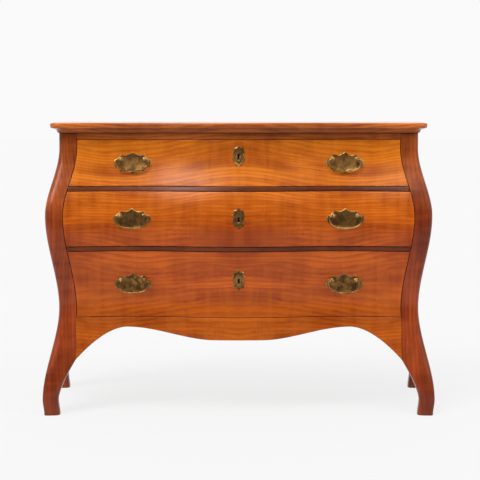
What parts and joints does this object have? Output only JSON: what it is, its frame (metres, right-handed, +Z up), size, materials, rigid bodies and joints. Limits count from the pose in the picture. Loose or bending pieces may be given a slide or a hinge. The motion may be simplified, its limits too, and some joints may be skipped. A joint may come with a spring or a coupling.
{
  "type": "bombe chest of drawers",
  "caption": "Low bombe chest with a serpentine front, swelling sides, splayed legs and three long drawers with swinging bail handles and locks.",
  "frame": {"origin": "on the floor under the middle of the chest's footprint", "axes": "+X to the right of someone who faces the drawers, +Y to the back, +Z up; drawers open along -Y"},
  "size_m": [1.142, 0.5193, 0.82],
  "materials": {
    "veneer": "polished figured veneer, warm orange brown",
    "polished_wood": "polished solid wood edges between the drawers",
    "drawer_lining": "plain planed wood, unpolished",
    "frame_wood": "plain sawn and planed softwood, aged",
    "bronze": "dark patinated brass with rubbed edges",
    "iron": "dull wrought iron"
  },
  "bodies": {
    "carcass": {"front_left_leg": "veneer", "front_right_leg": "veneer", "rear_left_leg": "veneer", "rear_right_leg": "veneer", "left_side_panel": "veneer", "right_side_panel": "veneer", "top_board": "veneer", "front_apron": "veneer", "top_front_rail": "polished_wood", "upper_divider": "polished_wood", "lower_divider": "polished_wood", "back_panel": "frame_wood", "bottom_board": "frame_wood", "upper_left_runner": "frame_wood", "upper_right_runner": "frame_wood", "middle_left_runner": "frame_wood", "middle_right_runner": "frame_wood", "lower_left_guide": "frame_wood", "lower_right_guide": "frame_wood", "upper_drawer_stop": "frame_wood", "middle_drawer_stop": "frame_wood", "lower_drawer_stop": "frame_wood"},
    "upper_drawer": {"upper_drawer_front": "veneer", "upper_drawer_left_side": "drawer_lining", "upper_drawer_right_side": "drawer_lining", "upper_drawer_back": "drawer_lining", "upper_drawer_bottom": "drawer_lining", "upper_lock_case": "iron", "upper_escutcheon": "bronze", "upper_left_handle_plate": "bronze", "upper_right_handle_plate": "bronze"},
    "middle_drawer": {"middle_drawer_front": "veneer", "middle_drawer_left_side": "drawer_lining", "middle_drawer_right_side": "drawer_lining", "middle_drawer_back": "drawer_lining", "middle_drawer_bottom": "drawer_lining", "middle_lock_case": "iron", "middle_escutcheon": "bronze", "middle_left_handle_plate": "bronze", "middle_right_handle_plate": "bronze"},
    "lower_drawer": {"lower_drawer_front": "veneer", "lower_drawer_left_side": "drawer_lining", "lower_drawer_right_side": "drawer_lining", "lower_drawer_back": "drawer_lining", "lower_drawer_bottom": "drawer_lining", "lower_lock_case": "iron", "lower_escutcheon": "bronze", "lower_left_handle_plate": "bronze", "lower_right_handle_plate": "bronze"},
    "upper_left_bail": {"upper_left_bail": "bronze"},
    "upper_right_bail": {"upper_right_bail": "bronze"},
    "upper_lock_bolt": {"upper_lock_bolt": "iron"},
    "middle_left_bail": {"middle_left_bail": "bronze"},
    "middle_right_bail": {"middle_right_bail": "bronze"},
    "middle_lock_bolt": {"middle_lock_bolt": "iron"},
    "lower_left_bail": {"lower_left_bail": "bronze"},
    "lower_right_bail": {"lower_right_bail": "bronze"},
    "lower_lock_bolt": {"lower_lock_bolt": "iron"}
  },
  "joints": [
    {"name": "upper_drawer_slide", "type": "slide", "parent": "carcass", "child": "upper_drawer", "axis": [0, -1, 0], "range_m": [0, 0.32]},
    {"name": "middle_drawer_slide", "type": "slide", "parent": "carcass", "child": "middle_drawer", "axis": [0, -1, 0], "range_m": [0, 0.32]},
    {"name": "lower_drawer_slide", "type": "slide", "parent": "carcass", "child": "lower_drawer", "axis": [0, -1, 0], "range_m": [0, 0.32]},
    {"name": "upper_left_bail_swing", "type": "hinge", "parent": "upper_drawer", "child": "upper_left_bail", "pos_m": [-0.298, -0.1963, 0.717], "axis": [-1, 0, 0], "range_deg": [-5, 190]},
    {"name": "upper_right_bail_swing", "type": "hinge", "parent": "upper_drawer", "child": "upper_right_bail", "pos_m": [0.298, -0.1963, 0.717], "axis": [-1, 0, 0], "range_deg": [-5, 190]},
    {"name": "upper_lock_bolt_slide", "type": "slide", "parent": "upper_drawer", "child": "upper_lock_bolt", "axis": [0, 0, 1], "range_m": [0, 0.008]},
    {"name": "middle_left_bail_swing", "type": "hinge", "parent": "middle_drawer", "child": "middle_left_bail", "pos_m": [-0.298, -0.24081, 0.561], "axis": [-1, 0, 0], "range_deg": [-26, 190]},
    {"name": "middle_right_bail_swing", "type": "hinge", "parent": "middle_drawer", "child": "middle_right_bail", "pos_m": [0.298, -0.24081, 0.561], "axis": [-1, 0, 0], "range_deg": [-26, 190]},
    {"name": "middle_lock_bolt_slide", "type": "slide", "parent": "middle_drawer", "child": "middle_lock_bolt", "axis": [0, 0, 1], "range_m": [0, 0.008]},
    {"name": "lower_left_bail_swing", "type": "hinge", "parent": "lower_drawer", "child": "lower_left_bail", "pos_m": [-0.298, -0.2059, 0.376], "axis": [-1, 0, 0], "range_deg": [-32, 190]},
    {"name": "lower_right_bail_swing", "type": "hinge", "parent": "lower_drawer", "child": "lower_right_bail", "pos_m": [0.298, -0.2059, 0.376], "axis": [-1, 0, 0], "range_deg": [-32, 190]},
    {"name": "lower_lock_bolt_slide", "type": "slide", "parent": "lower_drawer", "child": "lower_lock_bolt", "axis": [0, 0, 1], "range_m": [0, 0.008]}
  ]
}
